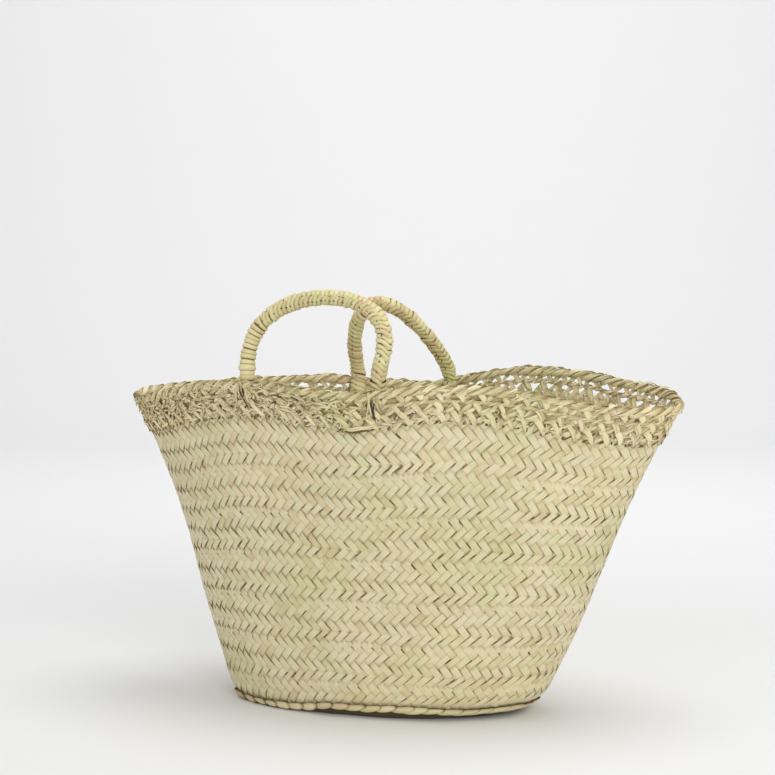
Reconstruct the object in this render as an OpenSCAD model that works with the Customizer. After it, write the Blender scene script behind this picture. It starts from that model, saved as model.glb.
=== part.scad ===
// Woven market basket: a flat base and seven plaited courses sewn edge to edge,
// an openwork rim, a braided edge round the base and two wrapped rope handles.
// Origin: centre of the underside. +X along the basket, -Y the front, +Z up.

/* [Base] */
// Half length of the wall's middle surface at the base, before its foot is drawn in
base_a = 140; // [120:1:170]
// Half width of the wall's middle surface at the base, before its foot is drawn in
base_b = 72; // [60:1:90]
// Outline exponent at the base, where 2 is an ellipse
base_n = 2.2; // [2:0.1:2.6]
// How far the wall's foot is drawn in at the two ends
end_tuck = 30; // [0:1:36]
// How far the wall's foot is drawn in at the two long sides
side_tuck = 16; // [0:1:20]

/* [Wall] */
// Half length of the wall's middle surface at its top
top_a = 244; // [200:1:280]
// Half width of the wall's middle surface at its top
top_b = 118; // [100:1:140]
// Outline exponent at the top, where less than 2 draws the ends to a point
top_n = 1.6; // [1.5:0.1:2]
// Mean height of the wall's top
wall_h = 260; // [200:1:300]
// How far the wall's profile bows out low down and in high up, as a share
wall_bow = 0.03; // [0:0.01:0.06]
// How far the mouth sits to the right of the base
mouth_shift = 20; // [0:1:24]
// Thickness of the plait
plait_t = 3.2; // [2.4:0.2:5]
// Number of plaited courses up the wall
courses = 7; // [7:1:7]
// Thickness of the sewing cord between two courses
cord_t = 1.2; // [0.8:0.1:1.6]

/* [Rim] */
// Height of the openwork rim with its top braid
rim_h = 31; // [24:1:40]
// Flare of the rim at the two ends
rim_flare_end = 17; // [6:1:20]
// Flare of the rim at the two long sides
rim_flare_side = 9; // [4:1:12]
// How far the rim's top sits to the right of its foot
rim_shift = 1; // [0:0.5:4]
// Height of the twined row at the rim's foot
foot_h = 5; // [4:0.5:7]
// Height of the braid along the rim's top
braid_h = 7; // [5:0.5:9]
// Thickness of the braid along the rim's top
braid_t = 5.6; // [4.4:0.2:7]
// Number of holes in each of the net's two rows
net_holes = 72; // [60:4:90]

/* [Base edge] */
// Thickness of the braid round the base's edge
edge_t = 4.4; // [4:0.2:8]
// Height of that braid's underside over the floor
edge_rise = 9; // [1:0.5:10]

/* [Handles] */
// Radius of a wrapped handle
rope_r = 6.8; // [6:0.1:9]
// Radius of the rope inside the wrapping
core_r = 4.4; // [4:0.1:5.5]
// Place of the front handle's left foot along the basket
front_left = -87; // [-105:1:-60]
// Place of the front handle's right foot along the basket
front_right = 40; // [20:1:50]
// Rise of the front handle over its feet
front_rise = 71; // [60:1:100]
// How far the front handle leans inward, in degrees
front_lean = 12; // [0:1:30]
// Place of the back handle's left foot along the basket
back_left = -52; // [-90:1:-40]
// Place of the back handle's right foot along the basket
back_right = 38; // [20:1:50]
// Rise of the back handle over its feet
back_rise = 73; // [60:1:100]
// How far the back handle leans inward, in degrees
back_lean = 24; // [0:1:30]

/* [Hidden] */
seg = 64;
gap = 0.15;
seam_gap = cord_t + 2 * gap;
base_start = 0.6;
// The rounded foot: height share it takes and how far it leans to the right
foot_share = 0.085;
foot_shift = 9;
// The rim's line rises and falls around the mouth: cosine and sine terms by harmonic
wave_cos = [0.9, -7.2, -2, -3.6, 0.7, 2.7, -0.7, -0.8];
wave_sin = [1.2, 3.1, 3.9, -0.8, 1.4, -0.1, 0.3, -0.1];
// How far the wall leans to the right at half height, beyond its share of the mouth's shift
side_bow = 3;
// Each handle's widening above its feet, sideways pull and fullness, where less is fuller
front_bulge = 18.5;
front_skew = 9;
front_power = 0.83;
back_bulge = -5;
back_skew = -19;
back_power = 1.05;
arch_steps = 26;
// Angles along the arch at which the rope and the wrapping begin
rope_from = 3.2;
wrap_from = 3.7;
rope_sides = 8;
// The handles' feet: distance inside the rim's middle surface and height over its top
foot_inset = 11;
hinge_rise = 6;
knob_r = 6.9;
end_drop = 6;
end_length = 30;
end_r = 6.4;
end_clear = 0.4;
// The lashing that ties a rope end to the rim
lash_w = 24;
lash_t = 1.8;
// Shares of a net row's height, and of the way to the next hole, that half a hole takes
hole_high = 0.42;
hole_wide = 0.36;

// A number raised to a power, with its sign kept
function signed_pow(v, p) = sign(v) * pow(abs(v), p);

// Straight blend from p to q
function mix(p, q, t) = p + (q - p) * t;

// Share of the way from the base's size to the top's size at height share u
function profile(u) = u + wall_bow * sin(360 * u);

// How far the foot is drawn in at height share u, from 1 at the floor to 0 above the foot
function tuck(u) = u < foot_share ? pow(1 - u / foot_share, 2) : 0;

// Sideways place of the wall's middle at height share u
function shift(u) = foot_shift * (1 - tuck(u)) + (mouth_shift - foot_shift) * u
    + side_bow * sin(180 * u);

// Height of the rim's wave at angle t round the mouth
function wave(t) = wave_cos * [for (k = [1 : len(wave_cos)]) cos(k * t)]
    + wave_sin * [for (k = [1 : len(wave_sin)]) sin(k * t)];

// Point of an outline with half axes a and b and exponent n at angle t
function outline_point(a, b, n, t) =
    [a * signed_pow(cos(t), 2 / n), b * signed_pow(sin(t), 2 / n)];

// Point of the wall at angle t, height share u and distance d outside its middle
function wall_point(t, u, d) =
    let (p = outline_point(mix(base_a, top_a, profile(u)) - end_tuck * tuck(u) + d,
            mix(base_b, top_b, profile(u)) - side_tuck * tuck(u) + d, mix(base_n, top_n, u), t))
    [p[0] + shift(u), p[1], base_start + (wall_h - base_start) * u + wave(t) * u * u];

// Point of the rim at angle t, height h over the wall's top and distance d outside
function rim_point(t, h, d) =
    let (s = h / rim_h,
        p = outline_point(top_a + rim_flare_end * s + d, top_b + rim_flare_side * s + d, top_n, t))
    [p[0] + mouth_shift + rim_shift * s, p[1], wall_h + h + wave(t)];

// Faces of a closed band: rings of m points, joined in a loop or capped at its ends
function band_faces(rings, m, closed) = concat(
    [for (i = [0 : rings - (closed ? 1 : 2)], j = [0 : m - 1], half = [0, 1])
        let (p = i * m + j, q = i * m + (j + 1) % m,
            r = ((i + 1) % rings) * m + (j + 1) % m, s = ((i + 1) % rings) * m + j)
        half == 0 ? [p, q, r] : [p, r, s]],
    closed ? [] : [[for (j = [m - 1 : -1 : 0]) j], [for (j = [0 : m - 1]) (rings - 1) * m + j]]);

// A ring round the wall, whose section is a list of [height share, distance]
module wall_ring(section) {
    points = [for (i = [0 : seg - 1], s = section) wall_point(360 * i / seg, s[0], s[1])];
    polyhedron(points, band_faces(seg, len(section), true), 4);
}

// A ring round the rim, whose section is a list of [height, distance]
module rim_ring(section) {
    points = [for (i = [0 : seg - 1], s = section) rim_point(360 * i / seg, s[0], s[1])];
    polyhedron(points, band_faces(seg, len(section), true), 4);
}

// Oval section of the given height and thickness round a middle point
function oval(middle, high, thick, sides) =
    [for (k = [0 : sides - 1]) let (t = -360 * (k + 0.5) / sides)
        [middle[0] + cos(t) * high / 2, middle[1] + sin(t) * thick / 2]];

module base_outline(inset) {
    polygon([for (i = [0 : 2 * seg - 1])
        outline_point(base_a - end_tuck - inset, base_b - side_tuck - inset, base_n, 180 * i / seg)]);
}

base_inset = plait_t / 2 + gap;
strip_w = (base_b - side_tuck - base_inset) / 2;

module base_centre_plait() {
    color([0.80, 0.75, 0.60])
        linear_extrude(plait_t) base_outline(base_inset + strip_w + seam_gap / 2);
}

module base_outer_plait() {
    color([0.78, 0.72, 0.57])
        linear_extrude(plait_t) difference() {
            base_outline(base_inset);
            base_outline(base_inset + strip_w - seam_gap / 2);
        }
}

module base_seam_cord() {
    color([0.66, 0.58, 0.42])
        translate([0, 0, (plait_t - cord_t) / 2])
            linear_extrude(cord_t) difference() {
                base_outline(base_inset + strip_w - cord_t / 2);
                base_outline(base_inset + strip_w + cord_t / 2);
            }
}

module base_edge_braid() {
    middle = [(edge_t / 2 + edge_rise) / wall_h, (plait_t + edge_t) / 2 + 0.3];
    section = [for (s = oval([0, 0], edge_t, edge_t, 6)) [middle[0] + s[0] / wall_h, middle[1] + s[1]]];
    color([0.74, 0.67, 0.50]) wall_ring(section);
}

// Height share at the bottom and the top edge of a course
function course_low(k) = (k - 1) / courses + (k == 1 ? 0 : seam_gap / 2 / wall_h);
function course_high(k) = k / courses - seam_gap / 2 / wall_h;

module wall_course(k) {
    low = course_low(k);
    high = course_high(k);
    levels = k == 1 ? [low, foot_share / 4, foot_share / 2, foot_share, high] : [low, high];
    last = len(levels) - 1;
    half = plait_t / 2;
    tone = 0.78 + 0.02 * (k % 3);
    color([tone, tone - 0.05, tone - 0.2])
        wall_ring(concat([for (u = levels) [u, half]], [for (i = [last : -1 : 0]) [levels[i], -half]]));
}

module seam_cord(u) {
    color([0.66, 0.58, 0.42])
        wall_ring(oval([u, 0], cord_t / wall_h, cord_t, 3));
}

module corner_seam_cord() {
    inner = base_inset + cord_t;
    color([0.66, 0.58, 0.42])
        translate([0, 0, plait_t + gap])
            linear_extrude(cord_t) difference() {
                base_outline(inner - 0.2);
                base_outline(inner + cord_t - 0.2);
            }
}

module rim_foot_row() {
    low = seam_gap / 2;
    half = plait_t / 2 + 0.6;
    color([0.72, 0.66, 0.50])
        rim_ring([[low, -half], [low, half], [foot_h, half], [foot_h, -half]]);
}

// Sideways place of the rim's top
rim_x = mouth_shift + rim_shift;

// Feet of a handle, left then right, and the frame of its hinge
function rim_y(x) = (top_b + rim_flare_side) *
    pow(1 - pow(abs(x - rim_x) / (top_a + rim_flare_end), top_n), 1 / top_n);
function foot(x, side) = [x, side * (rim_y(x) - foot_inset)];
function rim_angle(x, side) =
    let (c = signed_pow((x - rim_x) / (top_a + rim_flare_end), top_n / 2)) side * acos(c);
function hinge_z(left, right, side) = wall_h + rim_h + hinge_rise +
    (wave(rim_angle(left, side)) + wave(rim_angle(right, side))) / 2;

// The frame of a handle: middle of its hinge line, with X along that line
module handle_frame(left, right, side) {
    a = foot(left, side);
    b = foot(right, side);
    middle = (a + b) / 2;
    turn = atan2(b[1] - a[1], b[0] - a[0]);
    translate([middle[0], middle[1], hinge_z(left, right, side)]) rotate([0, 0, turn]) children();
}

function half_span(left, right, side) = norm(foot(right, side) - foot(left, side)) / 2;

// Point of a handle's middle line in its own plane: t runs from 0 to 180 degrees
function arch_point(t, half, rise, bulge, skew, power) =
    [(half + bulge * sin(t)) * cos(t) + skew * sin(t), 0, rise * pow(sin(t), power)];

// Ring of points round point i of a line in the XZ plane
function line_ring(line, i, radius) =
    let (last = len(line) - 1,
        d = line[min(i + 1, last)] - line[max(i - 1, 0)], n = [d[2], 0, -d[0]] / norm(d))
    [for (k = [0 : rope_sides - 1]) let (t = 360 * (k + 0.5) / rope_sides)
        line[i] + radius * (cos(t) * n + sin(t) * [0, 1, 0])];

// A solid tube along a line, with one radius for each point
module tube(line, radii) {
    points = [for (i = [0 : len(line) - 1]) each line_ring(line, i, radii[i])];
    polyhedron(points, band_faces(len(line), rope_sides, false), 4);
}

// A hollow tube along a line
module hollow_tube(line, outer, inner) {
    last = len(line) - 1;
    points = concat([for (i = [0 : last]) each line_ring(line, i, outer)],
        [for (i = [last : -1 : 0]) each line_ring(line, i, inner)]);
    polyhedron(points, band_faces(2 * last + 2, rope_sides, true), 4);
}

function arch_line(from, half, rise, bulge, skew, power) =
    [for (i = [0 : arch_steps])
        arch_point(from + (180 - 2 * from) * i / arch_steps, half, rise, bulge, skew, power)];

knob_cuts = [for (c = [-0.97, -0.8, -0.45, 0, 0.45]) c * knob_r];

module handle_rope(half, rise, bulge, skew, power, lean) {
    line = arch_line(rope_from, half, rise, bulge, skew, power);
    right = [for (c = knob_cuts) [half, 0, c]];
    left = [for (i = [4 : -1 : 0]) [-half, 0, knob_cuts[i]]];
    ball = [for (c = knob_cuts) sqrt(knob_r * knob_r - c * c)];
    radii = concat(ball, [for (p = line) core_r], [for (i = [4 : -1 : 0]) ball[i]]);
    rotate([lean, 0, 0]) tube(concat(right, line, left), radii);
}

module handle_wrapping(half, rise, bulge, skew, power, lean) {
    line = arch_line(wrap_from, half, rise, bulge, skew, power);
    rotate([lean, 0, 0]) hollow_tube(line, rope_r, core_r + 0.2);
}

// Slope of the rim's inner face beside a rope end
end_tilt = atan2(rim_flare_side, rim_h);

// A short length of rope under one foot, inside the rim
module rope_end(x, left, right, side) {
    cut = 6 * end_r;
    color([0.76, 0.71, 0.54]) handle_frame(left, right, side)
        translate([x, 0, 0]) difference() {
            rotate([-side * end_tilt, 0, 0])
                translate([0, 0, -end_drop - end_length]) cylinder(h = end_length, r = end_r, $fn = 32);
            sphere(r = knob_r + end_clear, $fn = 48);
            translate([0, 0, cut / 2 - end_drop]) cube(cut, center = true);
        }
}

// A flat bundle of leaf outside the rim, under one foot
module lashing(x, side) {
    steps = 6;
    low = -2;
    high = rim_h - braid_h - 1;
    near = plait_t / 2 + 0.8;
    far = near + lash_t;
    from = rim_angle(x - side * lash_w / 2, side);
    to = rim_angle(x + side * lash_w / 2, side);
    points = [for (i = [0 : steps]) let (t = mix(to, from, i / steps))
        for (s = [[low, near], [low, far], [high, far], [high, near]]) rim_point(t, s[0], s[1])];
    color([0.80, 0.74, 0.56]) polyhedron(points, band_faces(steps + 1, 4, false), 4);
}

module rim_net() {
    low = foot_h + gap;
    high = rim_h - braid_h - gap;
    half = plait_t / 2;
    row_h = (high - low) / 2;
    color([0.75, 0.69, 0.53]) difference() {
        rim_ring([[low, -half], [low, half], [high, half], [high, -half]]);
        for (row = [0, 1], i = [0 : net_holes - 1])
            net_hole(360 * (i + row / 2) / net_holes, low + row_h * (row + 0.5), row_h);
    }
}

// One hole of the net: a diamond that runs through the rim along its own direction
module net_hole(t, h, size) {
    p = rim_point(t, h, 0);
    q = rim_point(t + 0.5, h, 0);
    r = rim_point(t - 0.5, h, 0);
    turn = atan2(q[1] - r[1], q[0] - r[0]);
    high = size * hole_high;
    wide = min(high, norm(q - r) * 360 / net_holes * hole_wide);
    depth = 5 * plait_t;
    translate(p) rotate([90, 0, turn]) linear_extrude(depth, center = true)
        polygon([[-wide, 0], [0, -high], [wide, 0], [0, high]]);
}

module rim_top_braid() {
    color([0.77, 0.70, 0.54])
        rim_ring(oval([rim_h - braid_h / 2, 0], braid_h, braid_t, 6));
}

front_half = half_span(front_left, front_right, -1);
back_half = half_span(back_left, back_right, 1);

module front_handle_rope() {
    color([0.62, 0.55, 0.38]) handle_frame(front_left, front_right, -1)
        handle_rope(front_half, front_rise, front_bulge, front_skew, front_power, -front_lean);
}

module front_handle_wrapping() {
    color([0.80, 0.76, 0.58]) handle_frame(front_left, front_right, -1)
        handle_wrapping(front_half, front_rise, front_bulge, front_skew, front_power, -front_lean);
}

module back_handle_rope() {
    color([0.62, 0.55, 0.38]) handle_frame(back_left, back_right, 1)
        handle_rope(back_half, back_rise, back_bulge, back_skew, back_power, back_lean);
}

module back_handle_wrapping() {
    color([0.78, 0.73, 0.54]) handle_frame(back_left, back_right, 1)
        handle_wrapping(back_half, back_rise, back_bulge, back_skew, back_power, back_lean);
}

base_centre_plait();
base_outer_plait();
base_edge_braid();
wall_course(1);  // wall_course_1
wall_course(2);  // wall_course_2
wall_course(3);  // wall_course_3
wall_course(4);  // wall_course_4
wall_course(5);  // wall_course_5
wall_course(6);  // wall_course_6
wall_course(7);  // wall_course_7
base_seam_cord();
corner_seam_cord();
seam_cord(1 / courses);  // wall_seam_cord_1
seam_cord(2 / courses);  // wall_seam_cord_2
seam_cord(3 / courses);  // wall_seam_cord_3
seam_cord(4 / courses);  // wall_seam_cord_4
seam_cord(5 / courses);  // wall_seam_cord_5
seam_cord(6 / courses);  // wall_seam_cord_6
seam_cord(1);  // rim_seam_cord
rim_foot_row();
rim_net();
rim_top_braid();
front_handle_rope();
front_handle_wrapping();
back_handle_rope();
back_handle_wrapping();
rope_end(-front_half, front_left, front_right, -1);  // front_left_rope_end
rope_end(front_half, front_left, front_right, -1);  // front_right_rope_end
rope_end(-back_half, back_left, back_right, 1);  // back_left_rope_end
rope_end(back_half, back_left, back_right, 1);  // back_right_rope_end
lashing(front_left, -1);  // front_left_lashing
lashing(front_right, -1);  // front_right_lashing
lashing(back_left, 1);  // back_left_lashing
lashing(back_right, 1);  // back_right_lashing
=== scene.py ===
"""Woven palm-leaf market basket: the looks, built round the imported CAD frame.

Every strip of leaf is its own thin closed band. Bands are laid on a sheet (the basket's
shell, its base or a handle's tube), which turns (along, up, out) into a point in metres.
"""

import math

import bpy
import numpy as np
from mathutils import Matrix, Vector


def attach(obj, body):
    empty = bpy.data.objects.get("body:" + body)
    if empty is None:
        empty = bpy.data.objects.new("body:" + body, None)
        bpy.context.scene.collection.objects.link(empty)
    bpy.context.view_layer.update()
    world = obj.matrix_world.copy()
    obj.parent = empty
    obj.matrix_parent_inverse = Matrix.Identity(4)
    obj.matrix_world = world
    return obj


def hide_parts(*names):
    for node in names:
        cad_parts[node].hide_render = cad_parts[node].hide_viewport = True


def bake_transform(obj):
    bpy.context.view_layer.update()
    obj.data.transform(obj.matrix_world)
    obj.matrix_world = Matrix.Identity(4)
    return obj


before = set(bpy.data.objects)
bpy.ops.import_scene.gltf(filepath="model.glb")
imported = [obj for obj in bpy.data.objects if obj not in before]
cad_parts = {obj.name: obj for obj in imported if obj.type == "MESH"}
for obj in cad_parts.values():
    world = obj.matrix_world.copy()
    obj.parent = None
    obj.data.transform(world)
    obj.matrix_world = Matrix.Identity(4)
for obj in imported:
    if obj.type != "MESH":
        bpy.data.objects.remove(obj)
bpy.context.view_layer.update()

MM = 0.001
TURN = 2 * math.pi

# The shell's shape, as in the CAD, in millimetres
BASE_A, BASE_B, BASE_N = 140.0, 72.0, 2.2
END_TUCK, SIDE_TUCK, FOOT_SHARE, FOOT_SHIFT = 30.0, 16.0, 0.085, 9.0
FLOOR_A, FLOOR_B = BASE_A - END_TUCK, BASE_B - SIDE_TUCK
TOP_A, TOP_B, TOP_N = 244.0, 118.0, 1.6
WALL_H, WALL_BOW, BASE_START = 260.0, 0.03, 0.6
MOUTH_SHIFT, RIM_SHIFT, SIDE_BOW = 20.0, 1.0, 3.0
RIM_H, FLARE_END, FLARE_SIDE, BRAID_H = 31.0, 17.0, 9.0, 7.0
WAVE_COS = (0.9, -7.2, -2.0, -3.6, 0.7, 2.7, -0.7, -0.8)
WAVE_SIN = (1.2, 3.1, 3.9, -0.8, 1.4, -0.1, 0.3, -0.1)
# The foot sinks by up to FOOT_SINK mm on the left, most at the height SINK_UP, none at SINK_TOP
FOOT_SINK, SINK_UP, SINK_TOP, SINK_ANGLE = 7.5, 11.0, 55.0, math.radians(195)
COURSES = 7
EDGE_UP = 11.2           # height of the middle of the row round the base's edge
PLAIT_T = 3.2

# The weave
ROWS = 4                 # rows of floats in one course
PITCH = 9.1              # distance between two strips of one direction along a course
WAVE_LIFT = 0.72         # how far a strip stands out of the plait's middle
LEAF_T = 0.5             # thickness of a leaf strip
CROWN = 0.32             # how much a strip's middle stands over its edges

# The openwork: height over the wall of its first row of holes, from hole to hole, and from
# stitch to stitch at its foot
NET_FIRST, NET_PITCH, FOOT_PITCH = 12.0, 17.5, 14.5

# Handles, as in the CAD
ROPE_R, CORE_R = 6.8, 4.9
FOOT_INSET, HINGE_RISE = 11.0, 6.0
END_LENGTH = 36.0
HANDLES = {
    "front": {"left": -87.0, "right": 40.0, "side": -1, "rise": 71.0, "bulge": 18.5,
              "skew": 9.0, "power": 0.83, "lean": -12.0, "smooth": 80.0},
    "back": {"left": -52.0, "right": 38.0, "side": 1, "rise": 73.0, "bulge": -5.0,
             "skew": -19.0, "power": 1.05, "lean": 24.0, "smooth": 0.0},
}

# The camera and the room
CAMERA_TURN = math.radians(18.4)
CAMERA_DISTANCE, CAMERA_HEIGHT, CAMERA_SIDE = 1.700, 0.3935, 0.012
CAMERA_PITCH = math.radians(3.5)
CAMERA_LENS = 86.78


# ---------------------------------------------------------------- the sheets

def signed_power(v, p):
    return np.sign(v) * np.abs(v) ** p


def mix(a, b, t):
    return a + (b - a) * t


def wave(t):
    """Rise and fall of the rim round the mouth."""
    total = np.zeros_like(t)
    for k, (c, s) in enumerate(zip(WAVE_COS, WAVE_SIN), 1):
        total = total + c * np.cos(k * t) + s * np.sin(k * t)
    return total


def shell_row(height, t):
    """Points of the wall and the rim at one height along the slope."""
    if height <= WALL_H:
        u = height / WALL_H
        share = u + WALL_BOW * math.sin(TURN * u)
        tuck = (1 - min(max(u, 0.0) / FOOT_SHARE, 1.0)) ** 2
        a = mix(BASE_A, TOP_A, share) - END_TUCK * tuck
        b = mix(BASE_B, TOP_B, share) - SIDE_TUCK * tuck
        n = mix(BASE_N, TOP_N, u)
        z = BASE_START + (WALL_H - BASE_START) * u + wave(t) * u * abs(u)
        sink = min(max(height / SINK_UP, 0.0), 1.0) * max((SINK_TOP - height) / (SINK_TOP - SINK_UP), 0.0)
        z = z - FOOT_SINK * min(sink, 1.0) * np.clip(np.cos(t - SINK_ANGLE), 0, 1) ** 2
        shift = (FOOT_SHIFT * (1 - tuck) + (MOUTH_SHIFT - FOOT_SHIFT) * u
                 + SIDE_BOW * math.sin(math.pi * u))
    else:
        s = (height - WALL_H) / RIM_H
        a, b, n = TOP_A + FLARE_END * s, TOP_B + FLARE_SIDE * s, TOP_N
        z = height + wave(t)
        shift = MOUTH_SHIFT + RIM_SHIFT * s
    x = a * signed_power(np.cos(t), 2 / n) + shift
    y = b * signed_power(np.sin(t), 2 / n)
    return np.stack([x, y, z + 0 * t], axis=-1)


def base_row(inset, t):
    """Points of the base at one distance in from its edge, drawn in to a middle line."""
    half = FLOOR_B - PLAIT_T / 2
    share = inset / half
    a = mix(FLOOR_A - PLAIT_T / 2, FLOOR_A - FLOOR_B, share)
    b = half - inset
    x = a * signed_power(np.cos(t), 2 / BASE_N)
    y = b * signed_power(np.sin(t), 2 / BASE_N)
    return np.stack([x, y, PLAIT_T / 2 + 0 * t], axis=-1)


class Sheet:
    """A closed sheet of even rows: call it with (along, up, out) to get points in metres.

    along is a share of the way round, up a row's own measure and out a distance in mm."""

    COLUMNS = 1440

    def __init__(self, row, ups, out_sign=1.0):
        fine = np.linspace(0, TURN, 7201)
        share = np.linspace(0, 1, self.COLUMNS + 1)
        rows, self.lengths = [], []
        for up in ups:
            line = row(up, fine)
            walked = np.concatenate([[0], np.cumsum(np.linalg.norm(np.diff(line, axis=0), axis=1))])
            self.lengths.append(walked[-1])
            rows.append(np.stack([np.interp(share * walked[-1], walked, line[:, k])
                                  for k in range(3)], axis=-1))
        self.ups = np.asarray(ups, dtype=float)
        self.points = np.array(rows)
        along = np.gradient(self.points, axis=1)
        along[:, 0] = along[:, -1] = (along[:, 0] + along[:, -1]) / 2
        across = np.gradient(self.points, axis=0)
        normal = np.cross(along, across) * out_sign
        normal /= np.maximum(np.linalg.norm(normal, axis=-1, keepdims=True), 1e-9)
        self.normals = normal

    def length(self, up):
        return float(np.interp(up, self.ups, self.lengths))

    def __call__(self, along, up, out):
        f = np.mod(along, 1.0) * self.COLUMNS
        c = np.minimum(f.astype(int), self.COLUMNS - 1)
        fc = (f - c)[..., None]
        r = np.interp(up, self.ups, np.arange(len(self.ups)))
        i = np.minimum(r.astype(int), len(self.ups) - 2)
        fr = (r - i)[..., None]

        def pick(table):
            low = table[i, c] * (1 - fc) + table[i, c + 1] * fc
            high = table[i + 1, c] * (1 - fc) + table[i + 1, c + 1] * fc
            return low * (1 - fr) + high * fr

        return (pick(self.points) + pick(self.normals) * out[..., None]) * MM


class Uneven:
    """A sheet with the gentle dents and wandering rows of handwork."""

    def __init__(self, sheet, dent, wander):
        self.sheet, self.dent, self.wander = sheet, dent, wander

    def length(self, up):
        return self.sheet.length(up)

    def __call__(self, along, up, out):
        a = along * TURN
        dent = (np.sin(3 * a + 1.3 + up / 70) + np.sin(5 * a + 0.4 - up / 45)
                + 0.6 * np.sin(9 * a + 2.1 + up / 30)) / 2.6
        shift = (np.sin(4 * a + 0.7 + up / 60) + 0.7 * np.sin(7 * a + 2.9 - up / 38)
                 + 0.5 * np.sin(13 * a + up / 25)) / 2.2
        point = self.sheet(along, up + shift * self.wander, out + dent * self.dent)
        # leaf that would pass through the floor is pressed flat on it
        least, soft = 0.2 * MM, 1.5 * MM
        z = point[..., 2]
        pressed = least + (soft - least) * np.exp(np.minimum(z - soft, 0) / (soft - least))
        point[..., 2] = np.where(z < soft, pressed, z)
        return point


class Tube:
    """A tube round a line of points: along is a share of a turn, up the way along in mm."""

    def __init__(self, line, facing):
        walked = np.concatenate([[0], np.cumsum(np.linalg.norm(np.diff(line, axis=0), axis=1))])
        self.total = float(walked[-1])
        self.ups = np.linspace(0, self.total, 481)
        self.line = np.stack([np.interp(self.ups, walked, line[:, k]) for k in range(3)], axis=-1)
        ahead = np.gradient(self.line, axis=0)
        ahead /= np.linalg.norm(ahead, axis=1, keepdims=True)
        side = np.cross(ahead, np.asarray(facing, dtype=float))
        side /= np.linalg.norm(side, axis=1, keepdims=True)
        self.side, self.front = side, np.cross(side, ahead)

    def __call__(self, along, up, out):
        r = np.interp(up, self.ups, np.arange(len(self.ups)))
        i = np.minimum(r.astype(int), len(self.ups) - 2)
        fr = (r - i)[..., None]

        def pick(table):
            return table[i] * (1 - fr) + table[i + 1] * fr

        a = (along * TURN)[..., None]
        ray = pick(self.side) * np.cos(a) + pick(self.front) * np.sin(a)
        return (pick(self.line) + ray * out[..., None]) * MM


# ---------------------------------------------------------------- bands of leaf

ACROSS = np.array([-1.0, -0.45, 0.45, 1.0])


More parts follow.
